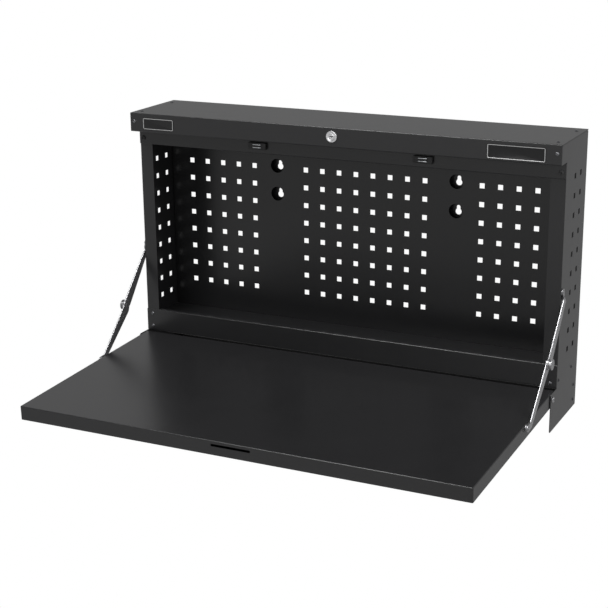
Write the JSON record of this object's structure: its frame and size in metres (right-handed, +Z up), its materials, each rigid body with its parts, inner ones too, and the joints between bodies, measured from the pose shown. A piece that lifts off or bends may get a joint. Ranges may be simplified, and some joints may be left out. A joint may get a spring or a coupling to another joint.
{
  "type": "wall mounted folding workbench",
  "caption": "Wall mounted sheet steel tool cabinet with a perforated back and a worktop that folds up to close its front, held open by folding stays and shut by a cam lock.",
  "frame": {"origin": "middle of the four wall keyholes, on the wall plane", "axes": "+X to the right seen from the front, +Y into the wall, +Z up"},
  "size_m": [0.94, 0.6138, 0.5594],
  "materials": {
    "black_powder_coat": "fine satin powder coat",
    "black_fastener": "black coated",
    "zinc_plate": "bright zinc plate",
    "lock_chrome": "polished",
    "pole_steel": "ground",
    "magnet": "sintered",
    "bumper_rubber": "matt",
    "catch_plastic": "moulded"
  },
  "bodies": {
    "cabinet": {"back_panel": "black_powder_coat", "top_cover": "black_powder_coat", "upper_rail": "black_powder_coat", "bottom_rail": "black_powder_coat", "floor_panel": "black_powder_coat", "rear_crossbar": "black_powder_coat", "lock_barrel": "lock_chrome", "lock_nut": "zinc_plate", "catch_magnets": "magnet", "catch_poles": "pole_steel", "band_screws": "black_fastener", "rail_screws": "black_fastener", "cover_rivets": "black_fastener", "floor_rivets": "black_fastener", "crossbar_rivets": "black_fastener", "left_side_panel": "black_powder_coat", "right_side_panel": "black_powder_coat", "left_mounting_channel": "black_powder_coat", "right_mounting_channel": "black_powder_coat", "left_catch_housing": "catch_plastic", "right_catch_housing": "catch_plastic", "left_bumper": "bumper_rubber", "right_bumper": "bumper_rubber", "left_stay_spacer": "zinc_plate", "right_stay_spacer": "zinc_plate", "left_stay_stud": "zinc_plate", "right_stay_stud": "zinc_plate"},
    "table": {"worktop": "black_powder_coat", "underside_skin": "black_powder_coat", "rear_stiffener": "black_powder_coat", "front_stiffener": "black_powder_coat", "hinge_nuts": "zinc_plate", "left_hinge_bolt": "zinc_plate", "right_hinge_bolt": "zinc_plate", "left_table_spacer": "zinc_plate", "right_table_spacer": "zinc_plate", "left_table_stud": "zinc_plate", "right_table_stud": "zinc_plate"},
    "lock": {"lock_plug": "lock_chrome", "lock_cam": "zinc_plate", "cam_screw": "zinc_plate"},
    "left_upper_stay": {"left_upper_arm": "zinc_plate", "left_elbow_knob": "zinc_plate"},
    "left_lower_stay": {"left_lower_arm": "zinc_plate", "left_elbow_rivet": "zinc_plate"},
    "right_upper_stay": {"right_upper_arm": "zinc_plate", "right_elbow_knob": "zinc_plate"},
    "right_lower_stay": {"right_lower_arm": "zinc_plate", "right_elbow_rivet": "zinc_plate"}
  },
  "joints": [
    {"name": "table_fold", "type": "hinge", "parent": "cabinet", "child": "table", "pos_m": [0, -0.165, -0.33845], "axis": [-1, 0, 0], "range_deg": [0, 91.75]},
    {"name": "left_upper_stay_swing", "type": "hinge", "parent": "cabinet", "child": "left_upper_stay", "pos_m": [-0.4619, -0.134, -0.1326], "axis": [1, 0, 0], "range_deg": [0, 81.84]},
    {"name": "left_lower_stay_swing", "type": "hinge", "parent": "table", "child": "left_lower_stay", "pos_m": [-0.4596, -0.32861, -0.33735], "axis": [1, 0, 0], "range_deg": [0, 26.9]},
    {"name": "right_upper_stay_swing", "type": "hinge", "parent": "cabinet", "child": "right_upper_stay", "pos_m": [0.4619, -0.134, -0.1326], "axis": [1, 0, 0], "range_deg": [0, 81.84]},
    {"name": "right_lower_stay_swing", "type": "hinge", "parent": "table", "child": "right_lower_stay", "pos_m": [0.4596, -0.32861, -0.33735], "axis": [1, 0, 0], "range_deg": [0, 26.9]},
    {"name": "lock_turn", "type": "hinge", "parent": "cabinet", "child": "lock", "pos_m": [0, -0.1768, 0.1376], "axis": [0, 1, 0], "range_deg": [0, 90]}
  ],
  "couplings": [
    {"joint": "left_upper_stay_swing", "follows": "table_fold", "ratio": 0.89183},
    {"joint": "left_lower_stay_swing", "follows": "table_fold", "ratio": 0.29306},
    {"joint": "right_upper_stay_swing", "follows": "table_fold", "ratio": 0.89183},
    {"joint": "right_lower_stay_swing", "follows": "table_fold", "ratio": 0.29306}
  ]
}
